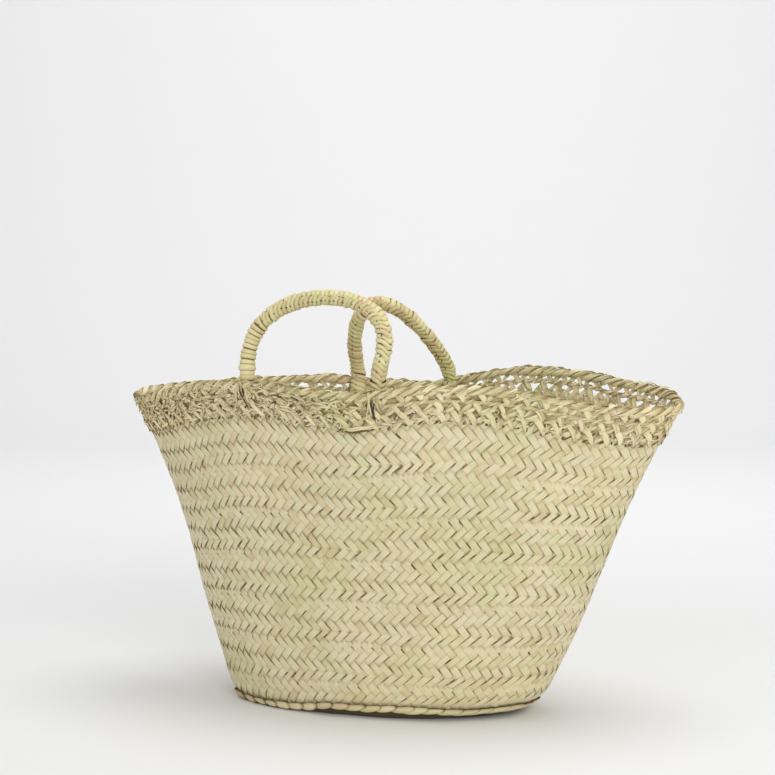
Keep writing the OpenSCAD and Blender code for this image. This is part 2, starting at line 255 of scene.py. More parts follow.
class Bands:
    """Gathers bands of leaf and turns them into one mesh object."""

    def __init__(self):
        self.points, self.faces, self.leaf, self.deep, self.count = [], [], [], [], 0

    def add(self, sheet, centre, half, seeds, crown=CROWN, thick=LEAF_T, step=1.0, tilt=None,
            start=0.0, deep=(0.0, 0.0), edge=0.0):
        """Adds bands: centre and half are (along, up[, out]) arrays of bands by stations.

        half is the way from a band's middle to its edge, seeds colours each band, and step
        is the length in mm between stations, which places the leaf's grain. deep is the painted
        shade of the outer and the inner face, from 0 to 1, set by how far they lie down among
        other strips, and edge how much more painted shade the two edges get."""
        along, up, out = centre
        n, m = along.shape
        c = ACROSS
        a = along[..., None] + c * half[0][..., None]
        h = up[..., None] + c * half[1][..., None]
        lift = np.asarray(crown)
        lift = lift[..., None] if lift.ndim else lift
        top = out[..., None] + lift * (1 - c * c)
        if tilt is not None:
            top = top + c * tilt[..., None]
        skin = thick * (0.75 + 0.25 * (1 - c * c))
        outer = sheet(a, h, top)
        inner = sheet(a, h, top - skin)[:, :, ::-1]
        loop = np.concatenate([outer, inner], axis=2)
        k = loop.shape[2]
        base = self.count + (np.arange(n)[:, None] * m + np.arange(m - 1)[None, :])[..., None] * k
        ring = np.arange(k)[None, None, :]
        nxt = (np.arange(k) + 1)[None, None, :] % k
        sides = np.stack([base + ring, base + nxt, base + nxt + k, base + ring + k], axis=-1)
        first = self.count + np.arange(n) * m * k
        last = first + (m - 1) * k
        caps = []
        for q in range(3):
            caps.append(np.stack([first + q, first + 7 - q, first + 6 - q, first + q + 1], axis=-1))
            caps.append(np.stack([last + q, last + q + 1, last + 6 - q, last + 7 - q], axis=-1))
        faces = np.concatenate([sides.reshape(-1, 4), np.concatenate(caps)])
        if self._volume(loop.reshape(-1, 3), faces - self.count) < 0:
            faces = faces[:, ::-1]
        travel = start + np.arange(m) * step
        leaf = np.zeros((n, m, k, 3))
        leaf[..., 0] = np.concatenate([c, c[::-1]])
        leaf[..., 1] = np.broadcast_to(travel, (n, m))[..., None] * MM
        leaf[..., 2] = np.asarray(seeds)[:, None, None]
        hollow = np.zeros((n, m, k))
        hollow[..., :k // 2] = np.broadcast_to(deep[0], (n, m))[..., None]
        hollow[..., k // 2:] = np.broadcast_to(deep[1], (n, m))[..., None]
        hollow[..., [0, 3, 4, 7]] += edge
        self.deep.append(np.clip(hollow, 0, 1).ravel())
        self.points.append(loop.reshape(-1, 3))
        self.faces.append(faces)
        self.leaf.append(leaf.reshape(-1, 3))
        self.count += n * m * k

    @staticmethod
    def _volume(points, faces):
        a, b, c, d = (points[faces[:, q]] for q in range(4))
        one = np.einsum("ij,ij->i", a, np.cross(b, c)).sum()
        return one + np.einsum("ij,ij->i", a, np.cross(c, d)).sum()

    def build(self, name, material):
        points = np.concatenate(self.points).astype(np.float32)
        faces = np.concatenate(self.faces).astype(np.int32)
        leaf = np.concatenate(self.leaf).astype(np.float32)
        mesh = bpy.data.meshes.new(name)
        mesh.vertices.add(len(points))
        mesh.vertices.foreach_set("co", points.ravel())
        mesh.loops.add(faces.size)
        mesh.loops.foreach_set("vertex_index", faces.ravel())
        mesh.polygons.add(len(faces))
        mesh.polygons.foreach_set("loop_start", np.arange(0, faces.size, 4, dtype=np.int32))
        mesh.polygons.foreach_set("use_smooth", np.ones(len(faces), dtype=bool))
        mesh.update(calc_edges=True)
        mesh.set_sharp_from_angle(angle=math.radians(50))
        attribute = mesh.attributes.new("leaf", "FLOAT_VECTOR", "POINT")
        attribute.data.foreach_set("vector", leaf.ravel())
        # the painted shade of each point, which darkens the leaf material
        hollow = mesh.attributes.new("deep", "FLOAT", "POINT")
        hollow.data.foreach_set("value", np.concatenate(self.deep).astype(np.float32))
        mesh.materials.append(material)
        piece = bpy.data.objects.new(name, mesh)
        bpy.context.scene.collection.objects.link(piece)
        return piece


# ---------------------------------------------------------------- materials

def link(tree, a, b):
    tree.links.new(a, b)


def math_node(tree, kind, a, b):
    """A math node: each input is a socket or a number."""
    node = tree.nodes.new("ShaderNodeMath")
    node.operation = kind
    for socket, value in zip(node.inputs, (a, b)):
        if isinstance(value, (int, float)):
            socket.default_value = value
        else:
            link(tree, value, socket)
    return node.outputs[0]


def ramp_node(tree, factor, stops):
    node = tree.nodes.new("ShaderNodeValToRGB")
    ramp = node.color_ramp
    while len(ramp.elements) < len(stops):
        ramp.elements.new(0.5)
    for element, (place, colour) in zip(ramp.elements, stops):
        element.position = place
        element.color = (*colour, 1.0)
    link(tree, factor, node.inputs["Fac"])
    return node.outputs["Color"]


def multiply_node(tree, colour, factor, amount=1.0):
    node = tree.nodes.new("ShaderNodeMix")
    node.data_type = "RGBA"
    node.blend_type = "MULTIPLY"
    node.inputs["Factor"].default_value = amount
    link(tree, colour, node.inputs["A"])
    link(tree, factor, node.inputs["B"])
    return node.outputs["Result"]


def noise_node(tree, vector, scale, detail, roughness=0.5):
    node = tree.nodes.new("ShaderNodeTexNoise")
    node.inputs["Scale"].default_value = scale
    node.inputs["Detail"].default_value = detail
    node.inputs["Roughness"].default_value = roughness
    link(tree, vector, node.inputs["Vector"])
    return node.outputs["Fac"]


def palm_leaf(name, stops, cell=0.0, rough=0.52, grain=1.0):
    """Dried palm leaf: each strip its own tone, fine grain along it, and patches of age.

    stops are the colours that strips take, cell the length of one visible float in m."""
    material = bpy.data.materials.new(name)
    material.use_nodes = True
    tree = material.node_tree
    shader = tree.nodes["Principled BSDF"]
    attribute = tree.nodes.new("ShaderNodeAttribute")
    attribute.attribute_name = "leaf"
    split = tree.nodes.new("ShaderNodeSeparateXYZ")
    link(tree, attribute.outputs["Vector"], split.inputs[0])
    across, along, seed = split.outputs

    # Each strip draws its tone; each float of it differs a little
    strip = tree.nodes.new("ShaderNodeTexWhiteNoise")
    strip.noise_dimensions = "1D"
    link(tree, seed, strip.inputs["W"])
    if cell:
        step = math_node(tree, "FLOOR", math_node(tree, "DIVIDE", along, cell), 0.0)
        mixed = math_node(tree, "MULTIPLY_ADD", seed, 7.31)
        link(tree, step, mixed.node.inputs[2])
    else:
        mixed = math_node(tree, "MULTIPLY", seed, 7.31)
    float_noise = tree.nodes.new("ShaderNodeTexWhiteNoise")
    float_noise.noise_dimensions = "1D"
    link(tree, mixed, float_noise.inputs["W"])
    blend = math_node(tree, "ADD", math_node(tree, "MULTIPLY", strip.outputs["Value"], 0.62),
                      math_node(tree, "MULTIPLY", float_noise.outputs["Value"], 0.38))
    colour = ramp_node(tree, blend, stops)

    # Grain: veins that run along the strip
    veins = tree.nodes.new("ShaderNodeCombineXYZ")
    link(tree, math_node(tree, "MULTIPLY", across, 2.6), veins.inputs[0])
    link(tree, math_node(tree, "MULTIPLY", along, 45.0), veins.inputs[1])
    link(tree, math_node(tree, "MULTIPLY", seed, 13.7), veins.inputs[2])
    vein = noise_node(tree, veins.outputs[0], 2.2, 6.0, 0.62)
    colour = multiply_node(tree, colour, ramp_node(
        tree, vein, [(0.30, (0.80, 0.77, 0.70)), (0.48, (0.97, 0.96, 0.94)), (0.70, (1.06, 1.05, 1.02))]),
        0.8 * grain)

    # Patches of sun, green and dust over the whole basket
    place = tree.nodes.new("ShaderNodeTexCoord")
    patch = noise_node(tree, place.outputs["Object"], 9.0, 3.0)
    colour = multiply_node(tree, colour, ramp_node(
        tree, patch, [(0.34, (0.90, 0.94, 0.84)), (0.50, (1.0, 1.0, 1.0)), (0.66, (1.04, 1.02, 0.98))]), 0.9)

    # Edges of a strip are drawn a little darker
    edge = math_node(tree, "ABSOLUTE", across, 0.0)
    colour = multiply_node(tree, colour, ramp_node(
        tree, edge, [(0.0, (1.0, 1.0, 1.0)), (0.75, (1.0, 1.0, 1.0)), (1.0, (0.84, 0.81, 0.74))]))

    # Painted shade where a strip dives under its neighbours
    deep = tree.nodes.new("ShaderNodeAttribute")
    deep.attribute_name = "deep"
    colour = multiply_node(tree, colour, ramp_node(tree, deep.outputs["Fac"], SHADE))
    link(tree, colour, shader.inputs["Base Color"])

    rough_ramp = ramp_node(tree, vein, [(0.2, (rough + 0.12,) * 3), (0.8, (rough - 0.08,) * 3)])
    link(tree, rough_ramp, shader.inputs["Roughness"])
    shader.inputs["Specular IOR Level"].default_value = 0.35
    shader.inputs["Sheen Weight"].default_value = 0.06
    bump = tree.nodes.new("ShaderNodeBump")
    bump.inputs["Strength"].default_value = 0.35 * grain
    bump.inputs["Distance"].default_value = 0.0004
    link(tree, vein, bump.inputs["Height"])
    link(tree, bump.outputs[0], shader.inputs["Normal"])
    return material


def hidden_fibre(name, colour):
    """Coarse fibre that only shows in gaps: cords and the rope inside a handle."""
    material = bpy.data.materials.new(name)
    material.use_nodes = True
    tree = material.node_tree
    shader = tree.nodes["Principled BSDF"]
    place = tree.nodes.new("ShaderNodeTexCoord")
    fibre = noise_node(tree, place.outputs["Object"], 900.0, 5.0, 0.65)
    dark = tuple(0.55 * c for c in colour)
    link(tree, ramp_node(tree, fibre, [(0.3, dark), (0.7, colour)]), shader.inputs["Base Color"])
    shader.inputs["Roughness"].default_value = 0.85
    bump = tree.nodes.new("ShaderNodeBump")
    bump.inputs["Strength"].default_value = 0.6
    bump.inputs["Distance"].default_value = 0.0005
    link(tree, fibre, bump.inputs["Height"])
    link(tree, bump.outputs[0], shader.inputs["Normal"])
    return material


STRAW = [(0.00, (0.62, 0.48, 0.28)), (0.12, (0.67, 0.57, 0.34)), (0.30, (0.70, 0.62, 0.39)),
         (0.50, (0.74, 0.66, 0.43)), (0.68, (0.76, 0.69, 0.48)), (0.84, (0.68, 0.66, 0.40)),
         (1.00, (0.79, 0.69, 0.48))]
SPLIT = [(0.00, (0.56, 0.41, 0.23)), (0.20, (0.72, 0.60, 0.37)), (0.42, (0.82, 0.72, 0.46)),
         (0.62, (0.90, 0.82, 0.57)), (0.80, (0.72, 0.70, 0.38)), (1.00, (0.88, 0.70, 0.52))]
WRAP = [(0.00, (0.58, 0.42, 0.22)), (0.22, (0.70, 0.58, 0.32)), (0.44, (0.76, 0.68, 0.37)),
        (0.64, (0.83, 0.76, 0.47)), (0.82, (0.66, 0.67, 0.31)), (1.00, (0.76, 0.60, 0.38))]

# Painted shade: what leaf is darkened by as it lies deeper
SHADE = [(0.0, (1.0, 1.0, 1.0)), (0.45, (0.66, 0.61, 0.50)), (0.85, (0.24, 0.20, 0.12)),
         (1.0, (0.06, 0.045, 0.02))]


# ---------------------------------------------------------------- the plaited body

def float_side(x):
    """+1 where a strip of the first direction floats on the outside, -1 where it dives."""
    return np.tanh(2.4 * np.cos(math.pi * x / 2)) / math.tanh(2.4)


def sunk(side):
    """How deep a face lies, which sets its painted shade: 0 on a float, 1 where the strip is under another.
    """
    return np.clip((0.15 - side) / 1.15, 0, 1)


def woven_course(sheet, low, high, name, material, seed, tongues=(True, True), shaded=0.0):
    """One round of the 2/2 twill plait between two heights, as two families of strips.

    tongues says whether strips reach over the seams below and above, and shaded is the
    height below which painted shade darkens its outer face."""
    rng = np.random.default_rng(seed)
    count = round(sheet.length((low + high) / 2) / PITCH)
    height = (high - low) / ROWS
    bands = Bands()
    loose = rng.uniform(0, TURN, 3)
    for family in (1, -1):
        if family == 1:
            x = np.arange(0.9 if tongues[0] else 0.05, 9.91 if tongues[1] else 8.41, 0.5)
        else:
            x = np.arange(-1.9 if tongues[0] else 0.05, 7.41, 0.5)
        n = np.arange(count)[:, None]
        around = n / count * TURN
        jitter = rng.normal(0, 0.035, (count, 1))
        jitter = jitter + 0.03 * np.sin(x[None, :] * 0.8 + rng.uniform(0, TURN, (count, 1)))
        offset = 0.0 if family == 1 else 0.5
        along = (n + offset + family * x[None, :] / 2 + jitter) / count
        rise = low + height * (x[None, :] / 2 + rng.normal(0, 0.02, (count, 1)))
        side = family * float_side(x[None, :]) + 0 * n
        lift = WAVE_LIFT * (1 + rng.normal(0, 0.16, (count, 1)))
        out = lift * side + rng.normal(0, 0.06, (count, len(x)))
        # strips over a seam are drawn in here and there, which leaves dark slits
        seam = np.exp(-((x[None, :] - (8 if family == 1 else 0)) / 0.9) ** 2)
        slack = 0.5 + 0.5 * np.sin(3 * around + loose[0]) * np.sin(7 * around + loose[1])
        drawn = rng.uniform(0.0, 0.30, (count, 1)) * (0.25 + 1.1 * slack ** 2)
        wide = rng.uniform(0.86, 0.99, (count, 1)) * (1 - seam * drawn)
        wide = wide * (1 + 0.03 * np.sin(x[None, :] * 1.7 + rng.uniform(0, TURN, (count, 1))))
        # painted shade on the faces that dive under, stronger on some strips than others
        gloom = rng.uniform(0.35, 1.0, (count, 1)) * (0.6 + 0.5 * slack)
        # painted shade low on the wall, below the height shaded
        painted_foot_shade = 0.95 * np.clip((shaded - rise) / 4.0, 0, 1)
        half = 0.5 * wide / 2
        half_along, half_up = half / count, -family * half * height
        bands.add(sheet, (along, rise, out), (half_along, half_up),
                  rng.uniform(0, 100, count), crown=CROWN * side + 0.05,
                  step=PITCH / math.sqrt(2) / 2, start=x[0] * PITCH / math.sqrt(2) / 2 * 2,
                  tilt=rng.normal(0, 0.10, (count, 1)) + 0 * out,
                  deep=(sunk(side) * gloom + painted_foot_shade, sunk(-side) * gloom))
    return bands.build(name, material)


def cord_ring(sheet, up, radius, name, material, out=0.0):
    """A thin two-strand cord that follows one row of a sheet."""
    bands = Bands()
    stations = 1200
    t = np.linspace(0, 1, stations)[None, :]
    for strand in range(2):
        turn = t * TURN * round(sheet.length(up) / 7.0) + strand * math.pi
        centre = (t, up + radius * 0.5 * np.cos(turn), out + radius * 0.5 * np.sin(turn))
        half = (np.zeros_like(t), np.full_like(t, radius * 0.6))
        bands.add(sheet, centre, half, [strand], crown=0.3, thick=radius * 0.9, step=1.0)
    return bands.build(name, material)


# ---------------------------------------------------------------- the braids and the net

def twist(bands, sheet, up, out, size, lay, strands, seed, splits=2, uneven=0.0):
    """Leaf strands twisted together into a flat cord, all the way round one row.

    size is the cord's half height and half thickness, lay the length of one turn."""
    rng = np.random.default_rng(seed)
    total = sheet.length(up)
    waves = round(total / lay)
    stations = waves * round(lay / 1.8) + 1
    t = np.linspace(0, 1, stations)[None, :]
    step = total / (stations - 1)
    cuts = np.linspace(0, stations - 1, max(2, round(waves * 0.9))).astype(int)
    for strand in range(strands):
        phase = t * TURN * waves + TURN * strand / strands
        drift = uneven * (np.sin(t * TURN * 17 + 2.0 * strand + seed) + 0.5 * np.sin(t * TURN * 41 + strand))
        # each strand is a few flat leaf splits that turn with the twist
        for split in range(splits):
            spin = phase + (split - (splits - 1) / 2) * 0.75 + rng.normal(0, 0.1)
            rise = up + drift - 0.46 * size[0] * (np.cos(phase) + np.cos(spin))
            proud = out + 0.46 * size[1] * (np.sin(phase) + np.sin(spin))
            wide = 0.52 * size[0] * (1 + 0.2 * np.sin(t * TURN * 29 + 1.7 * split + strand))
            for a, b in zip(cuts[:-1], cuts[1:]):
                part = slice(a, b + 1)
                lift, full = rng.normal(0, 0.25), rng.uniform(0.75, 1.15)
                # painted shade on the parts of a split that turn under the others
                buried = 0.5 * np.clip(-np.cos(spin[:, part]), 0, 1) * rng.uniform(0.0, 1.2) - 0.03
                bands.add(sheet, (t[:, part], rise[:, part] + 0.5 * rng.normal(), proud[:, part] + lift),
                          (np.zeros_like(t[:, part]), np.sin(spin[:, part]) * wide[:, part] * full),
                          rng.uniform(0, 100, 1), crown=0.55 * np.sin(spin[:, part]), thick=0.5, step=step,
                          tilt=np.cos(spin[:, part]) * wide[:, part] * 0.8, deep=(buried, buried), edge=0.10)
    # the core the strands are twisted on, darkened with painted shade so that it shows as shade between them
    bands.add(sheet, (t[:, ::4], up + 0 * t[:, ::4], out + 0.35 * size[1] + 0 * t[:, ::4]),
              (0 * t[:, ::4], 0.72 * size[0] + 0 * t[:, ::4]), [seed], crown=0.3, thick=0.7 * size[1],
              step=4 * step, deep=(0.26, 0.22))


def lapped_row(bands, sheet, up, out, pitch, high, seed):
    """A row of short flat strands, each with its ends tucked under its neighbours."""
    rng = np.random.default_rng(seed)
    total = sheet.length(up)
    count = round(total / pitch)
    y = np.linspace(-1, 1, 15)[None, :]
    place = np.arange(count)[:, None] + rng.normal(0, 0.07, (count, 1))
    along = (place + y * rng.uniform(0.66, 0.84, (count, 1))) / count
    rise = up + rng.normal(0, 0.3, (count, 1)) + 1.5 * y - 0.5 * y ** 4
    proud = out + 0.5 - 1.7 * np.abs(y) ** 3 + 0.8 * y
    wide = high * rng.uniform(0.86, 1.06, (count, 1)) * (1 - 0.72 * np.abs(y) ** 2.2)
    # painted shade on each strand's tucked ends, and more on its edges
    bands.add(sheet, (along, rise, proud), (0 * along, wide), rng.uniform(0, 100, count), crown=0.9,
              thick=0.6, step=pitch / 10, tilt=rng.normal(-0.5, 0.2, (count, 1)) + 0 * along,
              deep=(np.clip(np.abs(y) - 0.62, 0, 1) * 2.4 + 0 * along, 0.6), edge=0.36)
    # the rope of leaf that the short strands are wound on, darkened with painted shade, and behind it a
    # near-black sheet of painted shade that stands in for the shaded foot
    t = np.linspace(0, 1, 721)[None, :]
    bands.add(sheet, (t, up - 0.3 + 0 * t, out - 1.6 + 0 * t), (0 * t, 2.1 + 0 * t), [seed],
              crown=0.4, thick=0.9, step=total / 720, deep=(0.72, 0.85))
    bands.add(sheet, (t, up * 0.4 + 0 * t, 4.2 + 0 * t), (0 * t, up * 0.38 + 0 * t), [seed + 1],
              crown=0.0, thick=0.5, step=total / 720, tilt=-3.4 + 0 * t, deep=(0.97, 0.97))
    # a flat leaf that lines the corner inside, with painted shade on its outer face
    bands.add(sheet, (t, 3.4 + 0 * t, -1.7 + 0 * t), (0 * t, 3.2 + 0 * t), [seed + 3],
              crown=0.0, thick=0.4, step=total / 720, deep=(0.9, 0.25))


def stitches(bands, sheet, rng, count, lean, bottom, top, width, out, deep, arc=0.0, bulge=1.0, shift=0.0):
    """A row of leaf strands that cross the openwork from one height to another.

    lean is the run along the rim for each unit of rise, arc bends a strand to the right,
    bulge lifts its middle and shift moves the row along by a share of its pitch."""
    stations = 11
    y = np.linspace(0, 1, stations)[None, :]
    total = sheet.length(WALL_H + NET_FIRST)
    slope = lean * rng.normal(1.0, 0.11, (count, 1))
    low = bottom + rng.normal(0, 0.9, (count, 1))
    high = top + rng.normal(0, 0.6, (count, 1))
    norm = np.sqrt(1 + slope ** 2)
    middle = np.arange(count)[:, None] + shift + rng.normal(0, 0.06, (count, 1))
    arch = np.sin(math.pi * y)
    for split in range(2):
        # a broad strand, and a thin one that lies along it
        thin = 0.34 if split else 1.0
        beside = split * width * rng.uniform(-0.8, 0.8, (count, 1)) * (0.4 + 0.9 * y)
        bow = arc * arch * rng.uniform(0.6, 1.3, (count, 1)) + beside
        height = mix(low, high, y)
        along = middle / count + (slope * (height - NET_FIRST) + bow / norm) / total
        rise = WALL_H + height - bow * slope / norm
        proud = out + bulge * (arch - 0.45) + 0.55 * split + rng.normal(0, 0.22, (count, 1))
        over_plait = np.clip((2.0 - height) / 3.0, 0, 1)
        proud = np.maximum(proud, (1.9 + 0.5 * split) * over_plait - 2.5 * (1 - over_plait))
        taper = np.clip(0.30 + 3.2 * y, 0, 1) * np.clip(0.45 + 3.0 * (1 - y), 0, 1)
        wide = width * thin * rng.uniform(0.78, 1.15, (count, 1)) * taper
        # painted shade: the row's amount, varied from strand to strand and strongest at a strand's ends
        shade = deep + rng.uniform(-0.2, 0.12, (count, 1)) + 0.55 * (1 - arch) ** 2 - 0.05
        bands.add(sheet, (along, rise, proud), (wide / norm / total, -wide * slope / norm),
                  rng.uniform(0, 100, count), crown=0.30 * width * thin, thick=0.5,
                  step=(top - bottom) * float(norm.mean()) / stations,
                  tilt=rng.normal(0, 0.35, (count, 1)) + 0 * along,
                  deep=(np.clip(shade, 0, 1), np.clip(0.25 * shade, 0, 1)), edge=0.14)


def painted_shade_slits(bands, sheet, rng, count, lean, height, size, out, shift=0.0):
    """Near-black strips of painted shade that stand in for small openings between strands where the shade
    inside shows.
    """
    y = np.linspace(-1, 1, 7)[None, :]
    total = sheet.length(WALL_H + NET_FIRST)
    norm = math.sqrt(1 + lean * lean)
    reach = size[0] * rng.uniform(0.3, 1.25, (count, 1)) * y
    middle = np.arange(count)[:, None] + shift + rng.normal(0, 0.08, (count, 1))
    along = middle / count + lean / norm * reach / total
    rise = WALL_H + height + rng.normal(0, 0.4, (count, 1)) + reach / norm
    wide = size[1] * rng.uniform(0.3, 1.2, (count, 1)) * (1 - np.abs(y) ** 1.6) + 0.02
    bands.add(sheet, (along, rise, out + 0 * along), (wide / norm / total, -wide * lean / norm),
              rng.uniform(0, 100, count), crown=0.05, thick=0.3, step=1.0, deep=(0.93, 0.3))


def rim_net(sheet, name, material, seed):
    """The open lattice of the rim: two rows of holes, one half a hole along from the other."""
    rng = np.random.default_rng(seed)
    bands = Bands()
    count = round(sheet.length(WALL_H + NET_FIRST) / NET_PITCH)
    for low, high, move in ((6.0, 18.0, 0.0), (16.5, RIM_H - BRAID_H + 1.5, 0.5)):
        stitches(bands, sheet, rng, count, 0.85, low, high, 2.1, -0.5, 0.10, bulge=0.6, shift=move)
        stitches(bands, sheet, rng, count, -0.85, low + 1, high, 2.3, 0.9, -0.02, arc=0.9, bulge=1.2,
                 shift=move + 0.5)
    twist(bands, sheet, WALL_H + 17.4, 0.4, (1.9, 1.4), 20.0, 2, seed + 1, uneven=0.5)
    # ribbons of leaf threaded behind the lattice on the front, which close its holes, darkened a little with
    # painted shade
    y = np.linspace(0, 1, 13)[None, :]
    ribbons = np.arange(16)[:, None]
    for height in (13.5, 21.0):
        along = 0.51 + (ribbons + 1.15 * y) / len(ribbons) * 0.36
        rise = WALL_H + height + 1.2 * np.sin(5 * y + 2.3 * ribbons)
        wide = 3.6 - 1.2 * np.abs(2 * y - 1) ** 4 + 0 * along
        bands.add(sheet, (along, rise, 1.0 * y - 2.0 + 0 * along), (0 * along, wide),
                  rng.uniform(0, 100, len(ribbons)), crown=0.3, thick=0.4, step=4.0,
                  deep=(0.38, 0.3), edge=0.2)
    return bands.build(name, material)


def rim_foot(sheet, name, material, seed):
    """The stitches at the rim's foot, whose lower ends lie over the plait."""
    rng = np.random.default_rng(seed)
    bands = Bands()
    total = sheet.length(WALL_H + NET_FIRST)
    wide, close = round(total / NET_PITCH), round(total / FOOT_PITCH)
    # strands behind and flat strands under the lattice, both darkened with painted shade, then the lower row
    stitches(bands, sheet, rng, round(1.6 * wide), 1.3, -1.5, 9.5, 2.5, -1.3, 0.55, bulge=0.4)
    stitches(bands, sheet, rng, round(1.6 * wide), -1.1, -1.0, 9.0, 2.0, -0.7, 0.35, bulge=0.4)
    stitches(bands, sheet, rng, wide, 2.0, 7.5, 13.0, 1.7, 1.0, 0.0, bulge=1.4, shift=0.25)
    stitches(bands, sheet, rng, close, 1.7, 0.5, 7.0, 1.9, 0.9, 0.05, bulge=1.0)
    stitches(bands, sheet, rng, close, -0.9, -2.5, 11.0, 2.3, 1.5, -0.05, arc=1.7, bulge=1.7, shift=0.5)
    # near-black strips of painted shade where small openings would show the shade inside
    painted_shade_slits(bands, sheet, rng, close, 1.3, -0.2, (3.4, 1.1), 2.2, shift=0.95)
    painted_shade_slits(bands, sheet, rng, close, 0.9, 6.0, (2.8, 1.0), 1.6, shift=0.4)
    return bands.build(name, material)


def leaf_tips(sheet, name, material, seed, count=950):
    """Short ends of leaf that were cut off roughly: felted over the front of the rim, and
    elsewhere only along its foot and its top braid."""
    rng = np.random.default_rng(seed)
    bands = Bands()
    y = np.linspace(0, 1, 7)[None, :]
    total = sheet.length(WALL_H + RIM_H / 2)
    length = rng.uniform(3, 10, (count, 1))
    angle = rng.normal(0, 0.75, (count, 1)) + math.pi * rng.integers(0, 2, (count, 1))
    place = rng.uniform(0, 1.6, (count, 1))
    # most of them lie over the front's left half
    place = np.where(place > 1, 0.5 + (place - 1) * 0.42, place)
    front = (place > 0.5) & (place < 0.76)
    by_foot = rng.uniform(0, 1, (count, 1)) < 0.7
    up = np.where(by_foot, rng.uniform(0, 9, (count, 1)), rng.uniform(RIM_H - 6, RIM_H - 2.5, (count, 1)))
    up = WALL_H + np.where(front, rng.uniform(1, RIM_H - 3, (count, 1)), up)
    reach = np.where(front | by_foot, 1.0, 0.25)
    curl = rng.normal(0, 0.45, (count, 1))
    along = place + (np.cos(angle) * length * y + curl * length * y ** 2) / total
    rise = np.minimum(up + np.sin(angle) * length * y * 0.8 * reach, WALL_H + RIM_H + 0.6)
    out = 2.5 + 1.3 * y ** 1.5 * rng.uniform(0.1, 1.4, (count, 1)) + 0 * along
    out = out * np.where(front | (rng.uniform(0, 1, (count, 1)) < 0.7), 1, -1)
    wide = rng.uniform(0.5, 1.6, (count, 1)) * (1 - 0.8 * y ** 2) * (0.4 + 0.6 * np.clip(4 * y, 0, 1))
    # random tone, and painted shade towards the root of each tip and on its inner face
    shade = rng.uniform(-0.2, 0.25, (count, 1)) + 0.4 * (1 - y) ** 3
    bands.add(sheet, (along, rise, out), (-np.sin(angle) * wide / total, np.cos(angle) * wide),
              rng.uniform(0, 100, count), crown=0.4, thick=0.35, step=1.5, edge=0.15,
              deep=(np.clip(shade, 0, 1), 0.4))
    return bands.build(name, material)


# ---------------------------------------------------------------- the handles

def rim_y(x):
    share = abs(x - MOUTH_SHIFT - RIM_SHIFT) / (TOP_A + FLARE_END)
    return (TOP_B + FLARE_SIDE) * (1 - share ** TOP_N) ** (1 / TOP_N)


def rim_angle(x, side):
    x -= MOUTH_SHIFT + RIM_SHIFT
    return side * math.acos(math.copysign((abs(x) / (TOP_A + FLARE_END)) ** (TOP_N / 2), x))


def handle_frame(spec):
    """Middle of a handle's hinge line, its direction, its height and half its span."""
    feet = [np.array([spec[k], spec["side"] * (rim_y(spec[k]) - FOOT_INSET)]) for k in ("left", "right")]
    middle = (feet[0] + feet[1]) / 2
    span = float(np.linalg.norm(feet[1] - feet[0]))
    direction = (feet[1] - feet[0]) / span
    rise = sum(float(wave(np.array(rim_angle(spec[k], spec["side"])))) for k in ("left", "right")) / 2
    return middle, direction, WALL_H + RIM_H + HINGE_RISE + rise, span / 2


def handle_line(spec):
    """The middle line of a handle's rope, from one end inside the rim to the other."""
    middle, direction, height, half = handle_frame(spec)
    t = np.linspace(math.pi, 0, 81)
    x = (half + spec["bulge"] * np.sin(t)) * np.cos(t) + spec["skew"] * np.sin(t)
    rise = spec["rise"] * np.clip(np.sin(t), 0, 1) ** spec["power"]
    lean = math.radians(spec["lean"])
    y, z = -rise * math.sin(lean), rise * math.cos(lean)
    end_lean = math.atan2(FLARE_SIDE, RIM_H)
    down = np.linspace(END_LENGTH, 4.0, 8)
    end_y = -spec["side"] * down * math.sin(end_lean)
    end_z = -down * math.cos(end_lean)
    x = np.concatenate([np.full(8, -half), x, np.full(8, half)])
    y = np.concatenate([end_y, y, end_y[::-1]])
    z = np.concatenate([end_z, z, end_z[::-1]])
    line = np.stack([middle[0] + direction[0] * x - direction[1] * y,
                     middle[1] + direction[1] * x + direction[0] * y, height + z], axis=-1)
    for _ in range(12):
        line[1:-1] = line[1:-1] * 0.5 + (line[:-2] + line[2:]) * 0.25
    return line


